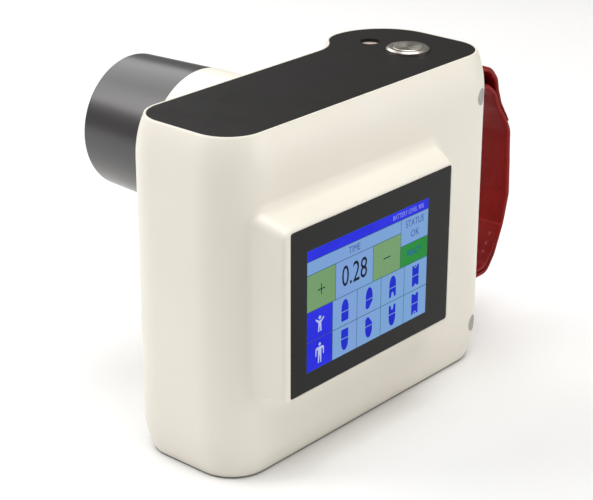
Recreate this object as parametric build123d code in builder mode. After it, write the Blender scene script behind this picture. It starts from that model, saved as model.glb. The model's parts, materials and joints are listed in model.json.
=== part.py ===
from build123d import *
import os
from math import acos, cos, degrees, radians, sin

# Handheld intraoral dental x-ray unit.
# +Z is up, +Y is the way the beam leaves, +X is the grip and strap end.
# The origin is on the flat base, under the middle of the top panel's main part.

# ---------------------------------------------------------------- driving sizes
body_height = 148.5
panel_width = 168.0
panel_depth = 53.5
rear_corner_r = 16.0
far_corner_r = 14.0
grip_r = 28.0
grip_y = 9.95
crown_r = 14.5
neck_r = 20.0

wall = 2.6
wall_margin = 4.75
rim_width = 0.9
panel_gap = 0.15
panel_thickness = 2.2
ledge_reach = 8.25
ledge_thickness = 2.0
top_rise = 18.0
base_lip = 0.8
base_plate = 3.0
base_rise = 17.0
base_gap = 0.2
seam_y = panel_depth / 2 + panel_gap
path_start_x = 56.0

rear_y = -panel_depth / 2 - wall_margin
front_y = -rear_y
right_x = panel_width / 2 + wall_margin
inner_front_y = front_y - wall
panel_under = body_height - panel_thickness
liner_length = 50.0

bezel_depth = 13.45
rim_y = rear_y - bezel_depth
bezel_base = (-77.0, 41.4, 37.3, 117.8)
bezel_rim = (-73.7, 35.6, 38.5, 113.0)
glass_box = (-70.2, 33.3, 40.1, 111.7)
lcd_box = (-63.5, 27.0, 45.5, 104.5)
glass_thickness = 2.0
glass_corner_r = 1.0
glass_gap = 0.15
glass_y = rim_y + 0.1
pocket_y = glass_y + glass_thickness
bezel_wall = 2.4
bezel_floor = 2.0
bezel_root_y = -24.0
bezel_side_fillet = 5.0
bezel_rim_fillet = 1.8
bezel_foot_fillet = 5.0

cone_x = -23.2
cone_z = 116.5
cone_base_y = 47.35
cone_tip_y = 90.15
cone_base_r = 31.5
cone_tip_r = 29.9
cone_bore_r = 27.2
cone_spigot_r = 29.2
collar_r = 31.8
collar_bore_r = 29.3
collar_seat_y = 37.0

button_x = 57.2
button_y = -1.75
button_head_r = 9.6
button_head_h = 1.7
button_cap_r = 6.8
barrel_r = 8.0
barrel_hole_r = 8.05
power_x = 57.3
power_y = 19.6
power_hole_r = 4.65
power_depth = 1.5
power_flange_r = 6.1
running_gap = 0.08

strap_near_y = -16.0
strap_width = 30.0
strap_thickness = 2.5
pin_r = 2.5
pin_x = 84.5
upper_pin_z = 128.9
lower_pin_z = 31.4
loop_r = 4.35
pocket_depth = 10.5
pocket_height = 18.0
pocket_side = 1.3
pocket_wall = 2.0

screw_r = 1.5
screw_hole_r = 1.6
screw_head_r = 2.75
plug_x = 74.2
plug_z = (18.9, 129.1)
plug_r = 3.75
glass_screw_x = -67.1
glass_screw_z = (56.0, 96.0)
boss_r = 4.0
glass_boss_r = 3.5
glass_head_depth = 2.4
plug_head_depth = 5.5
plug_length = 3.4
head_height = 2.0
pilot_depth = 12.2
base_boss_height = 16.0
join_y = -20.0
plug_join_y = 18.0

small_screw_r = 1.25
small_hole_r = 1.3
small_head_r = 2.2
small_head_h = 1.6
rear_base_screws = ((-70, -22), (0, -22), (64, -22))
front_base_screws = ((-56, 22), (8, 22), (58, 32))
base_screw_length = 14.0
beam_hole_r = 22.0
collar_screw_r = 28.0
socket_x = -18.0
socket_z = 28.0
socket_r = 5.5

board_thickness = 1.6
board_y = -27.0
board_box = (-73.0, 35.0, 41.5, 112.0)
standoff_r = 2.2
standoffs = ((-69, 45.5), (31, 45.5), (-69, 108), (31, 108))
inverter_y = 10.0
inverter_box = (-62.0, 28.0, 14.0, 72.0)
inverter_post_r = 3.0
inverter_posts = ((-58, 22), (22, 22), (-58, 64), (22, 64))
tank_wall = 2.0
shield_wall = 1.0
lid_thickness = 2.0
port_r = 14.0
tank_post_r = 3.5
tank_posts = ((-67, 88), (20.6, 88), (-67, 130), (20.6, 130))
tube_y = 3.0
target_angle = 20.0
tank_box = (-62.2, 15.8, -18.0, 24.0, 82.0, 139.0)
cells_x = (50.5, 70.0)
cells_y = (-12.5, 7.5)
cell_r = 9.2
cell_gap = 0.15
cell_length = 65.0
cell_contact_h = 1.5
cell_contact_r = 4.5
cell_bottom = 49.0
tray_z = 46.5
cap_z = 110.5
tray_box = (39.5, 81.0, -23.5, 18.5)
insert_x = -20.0
insert_r = 6.0
insert_thread_r = 3.175
insert_thread_length = 8.0

collar_screw_points = [
    (cone_x + collar_screw_r * cos(radians(angle)), cone_z - collar_screw_r * sin(radians(angle)))
    for angle in (0, 60, 120, 180)
]

# how a cylinder or box lies on its plane: it grows away from it, or back behind it
UPWARD = (Align.CENTER, Align.CENTER, Align.MIN)
DOWNWARD = (Align.CENTER, Align.CENTER, Align.MAX)

os.makedirs("parts", exist_ok=True)


def save(part, label):
    """Name a finished piece and write it as its own STEP file."""
    part.label = label
    export_step(part, f"parts/{label}.step")


def panel_outline(grow):
    """Plan outline of the top panel as a face, moved outwards by grow."""
    half_w = panel_width / 2
    half_d = panel_depth / 2
    grip_x = half_w - grip_r
    bump = grip_y + grip_r - half_d
    turn = acos(1 - bump / (crown_r + neck_r))
    neck_x = grip_x - (crown_r + neck_r) * sin(turn)
    turn = degrees(turn)
    rear_cy = rear_corner_r - half_d
    with BuildSketch() as plan:
        with BuildLine():
            grip = CenterArc((grip_x, grip_y), grip_r + grow, 0, 90)
            crown = CenterArc((grip_x, grip_y + grip_r - crown_r), crown_r + grow, 90, turn)
            neck = CenterArc((neck_x, half_d + neck_r), neck_r - grow, turn - 90, -turn)
            far_center = (far_corner_r - half_w, half_d - far_corner_r)
            far_left = CenterArc(far_center, far_corner_r + grow, 90, 90)
            rear_left = CenterArc((rear_corner_r - half_w, rear_cy), rear_corner_r + grow, 180, 90)
            rear_right = CenterArc((half_w - rear_corner_r, rear_cy), rear_corner_r + grow, 270, 90)
            start = (path_start_x, -half_d - grow)
            Line(rear_left @ 1, start)
            Line(start, rear_right @ 0)
            Line(rear_right @ 1, grip @ 0)
            Line(neck @ 1, far_left @ 0)
            Line(far_left @ 1, rear_left @ 0)
        make_face()
    return plan.sketch


def slab(grow, low, high):
    """A prism of the plan outline between two heights."""
    with BuildPart() as block:
        with BuildSketch(Plane.XY.offset(low)):
            add(panel_outline(grow))
        extrude(amount=high - low)
    return block.part


def rect_on_y(box, y, corner_r=0.0):
    """A rectangle (x0, x1, z0, z1) on the plane at y, facing -Y, as a sketch."""
    x0, x1, z0, z1 = box
    center = ((x0 + x1) / 2, y, (z0 + z1) / 2)
    with BuildSketch(Plane(center, x_dir=(1, 0, 0), z_dir=(0, -1, 0))) as outline:
        Rectangle(x1 - x0, z1 - z0)
        if corner_r:
            fillet(vertices(), corner_r)
    return outline.sketch


def box_between(box, y0, y1, corner_r=0.0):
    """A block over the rectangle (x0, x1, z0, z1) from y0 to y1, as a part."""
    with BuildPart() as block:
        extrude(rect_on_y(box, y0, corner_r), amount=y1 - y0, dir=(0, 1, 0))
    return block.part


def facing(x, y, z, towards):
    """A plane at a point whose normal points along +Y or -Y (towards is 1 or -1)."""
    return Plane((x, y, z), x_dir=(1, 0, 0), z_dir=(0, towards, 0))


# ------------------------------------------------------------ housing wall ring
# One section of the wall, swept round the body: a slightly barrelled outer face,
# a ledge under the top panel and one over the base cover.
rim_out = wall_margin - panel_gap - rim_width
rim_in = wall_margin - panel_gap

with BuildPart() as wall_ring:
    with BuildLine() as ring_path:
        add(panel_outline(wall_margin).face().outer_wire())
    section_plane = Plane((path_start_x, rear_y, 0), x_dir=(0, -1, 0), z_dir=(-1, 0, 0))
    with BuildSketch(section_plane):
        with BuildLine():
            side = Line((0, base_lip + base_rise), (0, body_height - top_rise))
            top_curve = TangentArc(side @ 1, (-rim_out, body_height), tangent=(0, 1))
            base_curve = TangentArc(side @ 0, (-rim_out, base_lip), tangent=(0, -1))
            Polyline(
                top_curve @ 1,
                (-rim_in, body_height),
                (-rim_in, panel_under),
                (-ledge_reach, panel_under),
                (-ledge_reach, panel_under - ledge_thickness),
                (-wall - 3.6, panel_under - 5.0),
                (-wall, body_height - top_rise),
                (-wall, base_lip + base_rise),
                (-wall - 3.6, base_plate + 5.0),
                (-ledge_reach, base_plate + ledge_thickness),
                (-ledge_reach, base_lip),
                base_curve @ 1,
            )
        make_face()
    sweep(path=ring_path.line)

# ------------------------------------------------------------ housing, two shells
# The front shell takes the wall beyond the seam, with the ledges between the ends.
with BuildPart() as front_zone:
    with Locations((0, seam_y, -1)):
        Box(200, 40, 160, align=(Align.CENTER, Align.MIN, Align.MIN))
    with Locations((8, 15, -1)):
        Box(140, 40, 160, align=(Align.CENTER, Align.MIN, Align.MIN))

# The space inside the outer skin, which keeps added ribs from breaking through it.
core = slab(wall_margin - 1.3, base_plate, panel_under - ledge_thickness)

pin_z = (lower_pin_z, upper_pin_z)
pocket_mid_y = strap_near_y + strap_width / 2
pocket_width = strap_width + 2 * pocket_side
pocket_x = right_x - pocket_depth

with BuildPart() as rear_ribs:
    for z in pin_z:
        with Locations((pocket_x - pocket_wall, pocket_mid_y, z)):
            Box(
                12,
                pocket_width + 2 * pocket_wall,
                pocket_height + 2 * pocket_wall,
                align=(Align.MIN, Align.CENTER, Align.CENTER),
            )
    for z in plug_z:
        with Locations(facing(plug_x, rear_y, z, 1)):
            Cylinder(boss_r, plug_join_y - rear_y, align=UPWARD)
    for x, y in rear_base_screws:
        with Locations((x, y, base_plate)):
            Cylinder(boss_r, base_boss_height, align=UPWARD)
    add(core, mode=Mode.INTERSECT)

def bezel_section(y):
    """The bezel's rectangle (x0, x1, z0, z1) where its sloping sides cross the plane at y."""
    share = (y - rim_y) / bezel_depth
    return tuple(rim + (base - rim) * share for rim, base in zip(bezel_rim, bezel_base))


def inset(box, amount):
    """A rectangle (x0, x1, z0, z1) made smaller by amount on every side."""
    return (box[0] + amount, box[1] - amount, box[2] + amount, box[3] - amount)


def is_foot(edge):
    """True for an edge where the bezel's sides meet the housing's rear face."""
    points = [edge.position_at(share) for share in (0.2, 0.5, 0.8)]
    return all(rear_y - 0.5 < point.Y < bezel_root_y and foot_low < point.Z < foot_high for point in points)


# The bezel with its rounded sides, and a soft fillet where it grows out of the rear face.
# The slab of body behind it is cut away again, down to the wall.
foot_low = bezel_base[2] - 10
foot_high = bezel_base[3] + 7

with BuildPart() as bezel_block:
    loft([rect_on_y(bezel_section(bezel_root_y), bezel_root_y), rect_on_y(bezel_rim, rim_y)])
    side_edges = edges().filter_by(lambda e: abs(e.tangent_at(0.5).Y) > 0.5)
    fillet(side_edges, bezel_side_fillet)
    fillet(faces().sort_by(Axis.Y)[0].edges(), bezel_rim_fillet)

with BuildPart() as screen_block:
    add(slab(wall_margin, foot_low, foot_high))
    add(bezel_block.part)
    fillet(edges().filter_by(is_foot), bezel_foot_fillet)
    add(slab(wall_margin - wall, foot_low, foot_high), mode=Mode.SUBTRACT)
    foot_zone = inset(bezel_section(rear_y), -2 * bezel_foot_fillet)
    add(box_between(foot_zone, rim_y, bezel_root_y), mode=Mode.INTERSECT)


with BuildPart() as screen_cavity:
    root = inset(bezel_section(bezel_root_y), bezel_wall)
    cavity_base = rect_on_y(root, bezel_root_y + 0.1)
    floor_y = pocket_y + bezel_floor
    loft([cavity_base, rect_on_y(inset(bezel_section(floor_y), bezel_wall), floor_y)])

with BuildPart() as rear_housing:
    add(wall_ring.part)
    add(front_zone.part, mode=Mode.SUBTRACT)
    add(screen_block.part)
    add(screen_cavity.part, mode=Mode.SUBTRACT)
    # pocket for the touch glass and window for the display behind it
    add(
        box_between(inset(glass_box, -glass_gap), rim_y - 1, pocket_y, glass_corner_r + glass_gap),
        mode=Mode.SUBTRACT,
    )
    add(box_between(inset(lcd_box, -0.4), rim_y, pocket_y + 8), mode=Mode.SUBTRACT)
    add(rear_ribs.part)
    # bosses for the two screws under the glass
    for z in glass_screw_z:
        with Locations(facing(glass_screw_x, pocket_y + 0.5, z, 1)):
            Cylinder(glass_boss_r, join_y - pocket_y - 0.5, align=UPWARD)
        with Locations(facing(glass_screw_x, pocket_y, z, -1)):
            CounterBoreHole(screw_hole_r, screw_head_r + 0.2, glass_head_depth, 60)
    # plugged screws beside the grip
    for z in plug_z:
        with Locations(facing(plug_x, rear_y, z, -1)):
            CounterBoreHole(screw_hole_r, plug_r + 0.05, plug_head_depth, 60)
    # strap pockets and the holes that hold their pins
    for z in pin_z:
        with Locations((pocket_x, pocket_mid_y, z)):
            Box(
                20,
                pocket_width,
                pocket_height,
                align=(Align.MIN, Align.CENTER, Align.CENTER),
                mode=Mode.SUBTRACT,
            )
        with Locations(facing(pin_x, pocket_mid_y, z, 1)):
            Cylinder(pin_r + 0.02, pocket_width + 2.6, mode=Mode.SUBTRACT)
    for x, y in rear_base_screws:
        with Locations((x, y, 0)):
            Cylinder(screw_hole_r, 30, mode=Mode.SUBTRACT)
            Cylinder(screw_head_r, 2 * base_plate, mode=Mode.SUBTRACT)
save(rear_housing.part, "rear_housing")

with BuildPart() as front_ribs:
    for z in glass_screw_z:
        with Locations(facing(glass_screw_x, join_y, z, 1)):
            Cylinder(boss_r, 55, align=UPWARD)
    for z in plug_z:
        with Locations(facing(plug_x, plug_join_y, z, 1)):
            Cylinder(boss_r, 45, align=UPWARD)
    for x, y in front_base_screws:
        with Locations((x, y, base_plate)):
            Cylinder(boss_r, base_boss_height, align=UPWARD)
    for x, z in inverter_posts:
        with Locations(facing(x, inverter_y + board_thickness, z, 1)):
            Cylinder(inverter_post_r, 30, align=UPWARD)
    for x, z in tank_posts:
        with Locations(facing(x, tank_box[3], z, 1)):
            Cylinder(tank_post_r, 30, align=UPWARD)
    add(core, mode=Mode.INTERSECT)

with BuildPart() as front_cover:
    add(wall_ring.part)
    add(front_zone.part, mode=Mode.INTERSECT)
    add(front_ribs.part)
    for z in glass_screw_z:
        with Locations(facing(glass_screw_x, join_y + 6, z, 1)):
            Cylinder(screw_hole_r, pilot_depth, mode=Mode.SUBTRACT)
    for z in plug_z:
        with Locations(facing(plug_x, plug_join_y + 5, z, 1)):
            Cylinder(screw_hole_r, pilot_depth, mode=Mode.SUBTRACT)
    for x, y in front_base_screws:
        with Locations((x, y, 0)):
            Cylinder(screw_hole_r, 30, mode=Mode.SUBTRACT)
            Cylinder(screw_head_r, 2 * base_plate, mode=Mode.SUBTRACT)
    for x, z in inverter_posts:
        with Locations(facing(x, inverter_y, z, 1)):
            Cylinder(small_hole_r, 18, mode=Mode.SUBTRACT)
    for x, z in tank_posts:
        with Locations(facing(x, tank_box[3], z, 1)):
            Cylinder(screw_hole_r, 12, mode=Mode.SUBTRACT)
    with Locations(facing(cone_x, front_y, cone_z, 1)):
        Cylinder(beam_hole_r, 20, mode=Mode.SUBTRACT)
    for x, z in collar_screw_points:
        with Locations(facing(x, front_y, z, 1)):
            Cylinder(small_hole_r, 20, mode=Mode.SUBTRACT)
    with Locations(facing(socket_x, front_y, socket_z, 1)):
        Cylinder(socket_r + 0.1, 20, mode=Mode.SUBTRACT)
save(front_cover.part, "front_cover")


def spin_plane(x, y):
    """A plane through a vertical axis at (x, y): its first axis is radius, its second height."""
    return Plane((x, y, 0), x_dir=(1, 0, 0), z_dir=(0, -1, 0))


def beam_plane():
    """A plane through the beam axis: its first axis is radius, its second runs along +Y."""
    return Plane((cone_x, 0, cone_z), x_dir=(1, 0, 0), z_dir=(0, 0, 1))


beam_axis = Axis((cone_x, 0, cone_z), (0, 1, 0))


def box_above(box, z0, z1):
    """A box over the rectangle (x0, x1, y0, y1) from z0 to z1, as a part."""
    x0, x1, y0, y1 = box
    with BuildPart() as block:
        with BuildSketch(Plane.XY.offset(z0)):
            with Locations(((x0 + x1) / 2, (y0 + y1) / 2)):
                Rectangle(x1 - x0, y1 - y0)
        extrude(amount=z1 - z0)
    return block.part


# ------------------------------------------------------------ top panel and base
with BuildPart() as top_panel:
    add(slab(0, panel_under, body_height))
    with Locations((button_x, button_y, body_height)):
        Cylinder(barrel_hole_r, 10, mode=Mode.SUBTRACT)
    with Locations((power_x, power_y, body_height)):
        Cylinder(power_hole_r, 10, mode=Mode.SUBTRACT)
save(top_panel.part, "top_panel")

lip_grow = wall_margin - rim_out - base_gap
spigot_grow = wall_margin - ledge_reach - base_gap

with BuildPart() as bottom_cover:
    add(slab(lip_grow, 0, base_lip))
    add(slab(spigot_grow, base_lip, base_plate))
    with Locations((insert_x, 0, base_plate)):
        Cylinder(insert_r + 3, 7, align=UPWARD)
    with Locations((insert_x, 0, 0)):
        Cylinder(insert_r + 0.02, 30, mode=Mode.SUBTRACT)
    for x, y in rear_base_screws + front_base_screws:
        with Locations(Plane((x, y, 0), x_dir=(1, 0, 0), z_dir=(0, 0, -1))):
            CounterSinkHole(screw_hole_r, screw_head_r, 10)
save(bottom_cover.part, "bottom_cover")

with BuildPart() as bottom_screws:
    for x, y in rear_base_screws + front_base_screws:
        with Locations((x, y, 0.1)):
            Cylinder(screw_r, base_screw_length, align=UPWARD)
            Cone(screw_head_r - 0.15, screw_r - 0.1, 1.2, align=UPWARD)
save(bottom_screws.part, "bottom_screws")

with BuildPart() as tripod_insert:
    with Locations((insert_x, 0, 0.2)):
        Cylinder(insert_r, 9.6, align=UPWARD)
    with Locations((insert_x, 0, 0.2)):
        Cylinder(insert_thread_r, insert_thread_length, align=UPWARD, mode=Mode.SUBTRACT)
save(tripod_insert.part, "tripod_insert")

# ------------------------------------------------------------ collar, cone, beam parts
with BuildPart() as collar_blank:
    with BuildSketch(beam_plane()):
        with BuildLine():
            Polyline(
                (beam_hole_r, seam_y + 0.2),
                (collar_r, seam_y + 0.2),
                (collar_r, cone_base_y),
                (collar_bore_r, cone_base_y),
                (collar_bore_r, collar_seat_y),
                (beam_hole_r, collar_seat_y),
                close=True,
            )
        make_face()
    revolve(axis=beam_axis)
    add(front_cover.part, mode=Mode.SUBTRACT)
    for x, z in collar_screw_points:
        with Locations(facing(x, front_y, z, 1)):
            Cylinder(small_hole_r, 10, mode=Mode.SUBTRACT)

with BuildPart() as cone_collar:
    add(collar_blank.part.solids().sort_by(Axis.Y)[-1])
save(cone_collar.part, "cone_collar")

with BuildPart() as collar_screws:
    for x, z in collar_screw_points:
        with Locations(facing(x, inner_front_y, z, -1)):
            Cylinder(small_screw_r, 7.4, align=DOWNWARD)
            Cylinder(small_head_r, small_head_h, align=UPWARD)
save(collar_screws.part, "collar_screws")

with BuildPart() as beam_cone:
    with BuildSketch(beam_plane()):
        with BuildLine():
            Polyline(
                (cone_bore_r, collar_seat_y + 0.1),
                (cone_spigot_r, collar_seat_y + 0.1),
                (cone_spigot_r, cone_base_y + 0.05),
                (cone_base_r, cone_base_y + 0.05),
                (cone_tip_r, cone_tip_y),
                (cone_bore_r, cone_tip_y),
                close=True,
            )
        make_face()
    revolve(axis=beam_axis)
    fillet(edges().group_by(Axis.Y)[-1], 1.1)
save(beam_cone.part, "beam_cone")

with BuildPart() as cone_liner:
    with Locations(facing(cone_x, collar_seat_y + 0.2, cone_z, 1)):
        Cylinder(cone_bore_r - 0.1, liner_length, align=UPWARD)
        Cylinder(cone_bore_r - 1.0, liner_length, align=UPWARD, mode=Mode.SUBTRACT)
save(cone_liner.part, "cone_liner")

with BuildPart() as beam_filter:
    with Locations(facing(cone_x, 27.0, cone_z, 1)):
        Cylinder(beam_hole_r - 0.2, 1.5, align=UPWARD)
save(beam_filter.part, "beam_filter")

with BuildPart() as collimator:
    with BuildSketch(beam_plane()):
        with BuildLine():
            Polyline(
                (6.5, 28.5),
                (beam_hole_r - 0.2, 28.5),
                (beam_hole_r - 0.2, 32.5),
                (7.5, 32.5),
                close=True,
            )
        make_face()
    revolve(axis=beam_axis)
save(collimator.part, "collimator")

# ------------------------------------------------------------ screen and main board
with BuildPart() as touch_glass:
    add(box_between(glass_box, glass_y, pocket_y, glass_corner_r))
save(touch_glass.part, "touch_glass")

with BuildPart() as display_module:
    add(box_between(lcd_box, pocket_y, pocket_y + 5.2))
save(display_module.part, "display_module")

with BuildPart() as board_standoffs:
    for x, z in standoffs:
        with Locations(facing(x, pocket_y + bezel_floor, z, 1)):
            Cylinder(standoff_r, board_y - pocket_y - bezel_floor, align=UPWARD)
save(board_standoffs.part, "board_standoffs")

with BuildPart() as main_board:
    add(box_between(board_box, board_y, board_y + board_thickness))
    for z in glass_screw_z:
        with Locations(facing(glass_screw_x, board_y, z, 1)):
            Cylinder(boss_r + 0.4, 10, mode=Mode.SUBTRACT)
save(main_board.part, "main_board")

with BuildPart() as board_screws:
    for x, z in standoffs:
        with Locations(facing(x, board_y + board_thickness, z, 1)):
            Cylinder(2.0, 1.4, align=UPWARD)
save(board_screws.part, "board_screws")

# chips and connectors: x, z, width, height, thickness
board_parts = (
    (-35, 62, 14, 14, 1.4),
    (-12, 70, 10, 10, 1.2),
    (8, 58, 12, 8, 2.0),
    (-50, 105, 20, 6, 5.5),
    (10, 105, 24, 6, 5.5),
    (22, 75, 6, 22, 5.0),
    (-30, 88, 9, 9, 4.0),
)
with BuildPart() as board_components:
    for x, z, w, h, t in board_parts:
        face_y = board_y + board_thickness
        add(box_between((x - w / 2, x + w / 2, z - h / 2, z + h / 2), face_y, face_y + t))
save(board_components.part, "board_components")

with BuildPart() as inverter_board:
    add(box_between(inverter_box, inverter_y, inverter_y + board_thickness))
    for x, z in inverter_posts:
        with Locations(facing(x, inverter_y, z, 1)):
            Cylinder(small_hole_r, 6, mode=Mode.SUBTRACT)
save(inverter_board.part, "inverter_board")

with BuildPart() as inverter_screws:
    for x, z in inverter_posts:
        with Locations(facing(x, inverter_y, z, -1)):
            Cylinder(small_head_r, small_head_h, align=UPWARD)
            Cylinder(small_screw_r, 7, align=DOWNWARD)
save(inverter_screws.part, "inverter_screws")

with BuildPart() as inverter_components:
    for x, z in ((-45, 34), (-45, 50), (-30, 34), (-30, 50)):
        with Locations(facing(x, inverter_y, z, -1)):
            Cylinder(5.0, 14, align=UPWARD)
    for x, z, w, h, t in ((-8, 44, 22, 26, 12), (14, 34, 12, 16, 9), (14, 56, 12, 12, 4)):
        add(box_between((x - w / 2, x + w / 2, z - h / 2, z + h / 2), inverter_y - t, inverter_y))
save(inverter_components.part, "inverter_components")

# ------------------------------------------------------------ x-ray generator
x0, x1, y0, y1, z0, z1 = tank_box
tank_plan = (x0, x1, y0, y1)
inner_plan = inset(tank_plan, tank_wall)
shield_plan = inset(tank_plan, tank_wall + 0.05)

with BuildPart() as generator_tank:
    add(box_above(tank_plan, z0 + lid_thickness, z1))
    fillet(edges().filter_by(Axis.Z), 3)
    add(box_above(inner_plan, z0, z1 - tank_wall), mode=Mode.SUBTRACT)
    with Locations(facing(cone_x, y1 - 0.5, cone_z, 1)):
        Cylinder(beam_hole_r - 0.2, 3.5, align=UPWARD)
    for x, z in tank_posts:
        reach = (x - tank_post_r - 1, x0 + 1) if x < cone_x else (x1 - 1, x + tank_post_r + 1)
        add(box_between((*reach, z - tank_post_r, z + tank_post_r), y1 - tank_wall, y1))
        with Locations(facing(x, y1, z, 1)):
            Cylinder(screw_hole_r, 10, mode=Mode.SUBTRACT)
    with Locations(facing(cone_x, y1, cone_z, 1)):
        Cylinder(port_r + shield_wall, 12, mode=Mode.SUBTRACT)
save(generator_tank.part, "generator_tank")

with BuildPart() as tank_shield:
    add(box_above(shield_plan, z0 + lid_thickness + 0.05, z1 - tank_wall - 0.05))
    shield_inside = inset(shield_plan, shield_wall)
    add(box_above(shield_inside, z0, z1 - tank_wall - shield_wall), mode=Mode.SUBTRACT)
    with Locations(facing(cone_x, y1, cone_z, 1)):
        Cylinder(port_r, 12, mode=Mode.SUBTRACT)
save(tank_shield.part, "tank_shield")

with BuildPart() as tank_lid:
    add(box_above(tank_plan, z0, z0 + lid_thickness))
    fillet(edges().filter_by(Axis.Z), 3)
save(tank_lid.part, "tank_lid")

with BuildPart() as tank_screws:
    for x, z in tank_posts:
        with Locations(facing(x, y1 - tank_wall, z, -1)):
            Cylinder(screw_head_r, head_height, align=UPWARD)
            Cylinder(screw_r, 7.5, align=DOWNWARD)
save(tank_screws.part, "tank_screws")

# the tube lies along X, its target on the beam axis
tube_plane = Plane((cone_x, tube_y, cone_z), x_dir=(1, 0, 0), z_dir=(0, -1, 0))
tube_axis = Axis((cone_x, tube_y, cone_z), (1, 0, 0))

with BuildPart() as tube_envelope:
    with BuildSketch(tube_plane):
        with BuildLine():
            outer = Polyline((-31, 3.1), (-31, 6), (-27, 13), (27, 13), (31, 10), (31, 7.1))
            inner = Polyline(
                (-29.8, 3.1), (-29.8, 5.2), (-26.2, 11.8), (26.6, 11.8), (29.8, 9.2), (29.8, 7.1)
            )
            Line(outer @ 0, inner @ 0)
            Line(outer @ 1, inner @ 1)
        make_face()
    revolve(axis=tube_axis)
save(tube_envelope.part, "tube_envelope")

with BuildPart() as tube_anode:
    with BuildSketch(tube_plane):
        with BuildLine():
            Polyline((0, 0), (0, 7), (35, 7), (35, 0), close=True)
        make_face()
    revolve(axis=tube_axis)
    # the target face looks towards the beam port
    slope = radians(target_angle)
    target_plane = Plane((cone_x, tube_y, cone_z), x_dir=(sin(slope), cos(slope), 0))
    with Locations(target_plane):
        Box(60, 20, 20, align=(Align.CENTER, Align.MIN, Align.CENTER), mode=Mode.SUBTRACT)
save(tube_anode.part, "tube_anode")

with BuildPart() as tube_cathode:
    with BuildSketch(tube_plane):
        with BuildLine():
            Polyline(
                (-34, 0),
                (-34, 3),
                (-20, 3),
                (-20, 8),
                (-13, 8),
                (-13, 5),
                (-16, 5),
                (-16, 0),
                close=True,
            )
        make_face()
    revolve(axis=tube_axis)
save(tube_cathode.part, "tube_cathode")

with BuildPart() as hv_transformer:
    add(box_between((-52, -16, z0 + 2.1, z0 + 16), -12, 14))
    add(box_between((-45, -23, z0 + 2.1, z0 + 19), -9, 11))
save(hv_transformer.part, "hv_transformer")

with BuildPart() as hv_multiplier:
    add(box_between((-10, 10, z0 + 2.1, z0 + 4), -12, 18))
    for x in (-5, 5):
        for y in (-6, 3, 12):
            with Locations((x, y, z0 + 4)):
                Cylinder(3.6, 10, align=UPWARD)
save(hv_multiplier.part, "hv_multiplier")

# ------------------------------------------------------------ battery
with BuildPart() as battery_tray:
    add(box_above(tray_box, tray_z, cell_bottom + 3))
    fillet(edges().filter_by(Axis.Z), 4)
    with Locations(((cells_x[0] + cells_x[1]) / 2, (cells_y[0] + cells_y[1]) / 2, cell_bottom)):
        Cylinder(3.5, cap_z - cell_bottom, align=UPWARD)
    for x in (44, 60):
        for y in (-15, 12):
            with Locations((x, y, base_plate + 0.05)):
                Cylinder(2.5, tray_z - base_plate, align=UPWARD)
    for x in cells_x:
        for y in cells_y:
            with Locations((x, y, cell_bottom)):
                Cylinder(cell_r + cell_gap, 20, align=UPWARD, mode=Mode.SUBTRACT)
save(battery_tray.part, "battery_tray")

with BuildPart() as battery_cells:
    for x in cells_x:
        for y in cells_y:
            with Locations((x, y, cell_bottom)):
                Cylinder(cell_r, cell_length - cell_contact_h, align=UPWARD)
            with Locations((x, y, cell_bottom + cell_length - cell_contact_h)):
                Cylinder(cell_contact_r, cell_contact_h, align=UPWARD)
save(battery_cells.part, "battery_cells")

with BuildPart() as battery_cap:
    add(box_above(tray_box, cap_z, cell_bottom + cell_length + 2))
    fillet(edges().filter_by(Axis.Z), 4)
    for x in cells_x:
        for y in cells_y:
            with Locations((x, y, cell_bottom + cell_length)):
                Cylinder(cell_r + cell_gap, 20, align=DOWNWARD, mode=Mode.SUBTRACT)
save(battery_cap.part, "battery_cap")

# ------------------------------------------------------------ charging socket
with BuildPart() as charging_socket:
    with Locations(facing(socket_x, front_y, socket_z, 1)):
        Cylinder(7, 1.4, align=UPWARD)
        fillet(edges().sort_by(Axis.Y)[-1], 0.5)
        Cylinder(socket_r, 13, align=DOWNWARD)
    with Locations(facing(socket_x, front_y + 1.4, socket_z, 1)):
        Cylinder(3.0, 10, align=DOWNWARD, mode=Mode.SUBTRACT)
    with Locations(facing(socket_x, front_y + 0.4, socket_z, 1)):
        Cylinder(1.0, 9.5, align=DOWNWARD)
save(charging_socket.part, "charging_socket")

with BuildPart() as socket_nut:
    with BuildSketch(facing(socket_x, inner_front_y, socket_z, -1)):
        RegularPolygon(8, 6)
        Circle(socket_r + 0.1, mode=Mode.SUBTRACT)
    extrude(amount=2.4)
save(socket_nut.part, "socket_nut")

# ------------------------------------------------------------ exposure button
button_axis = Axis((button_x, button_y, 0), (0, 0, 1))
head_top = body_height + button_head_h
shelf_z = 139.0
barrel_end = 132.0
cap_bottom = 146.6

with BuildPart() as exposure_bezel:
    with BuildSketch(spin_plane(button_x, button_y)):
        with BuildLine():
            Polyline(
                (barrel_r, barrel_end),
                (barrel_r, body_height),
                (button_head_r, body_height),
                (button_head_r, head_top - 0.7),
                (button_head_r - 1.0, head_top),
                (button_cap_r + running_gap, head_top),
                (button_cap_r + running_gap, shelf_z),
                (2.0 + running_gap, shelf_z),
                (2.0 + running_gap, shelf_z - 2),
                (6.2, shelf_z - 2),
                (6.2, barrel_end),
                close=True,
            )
        make_face()
    revolve(axis=button_axis)
save(exposure_bezel.part, "exposure_bezel")

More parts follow.
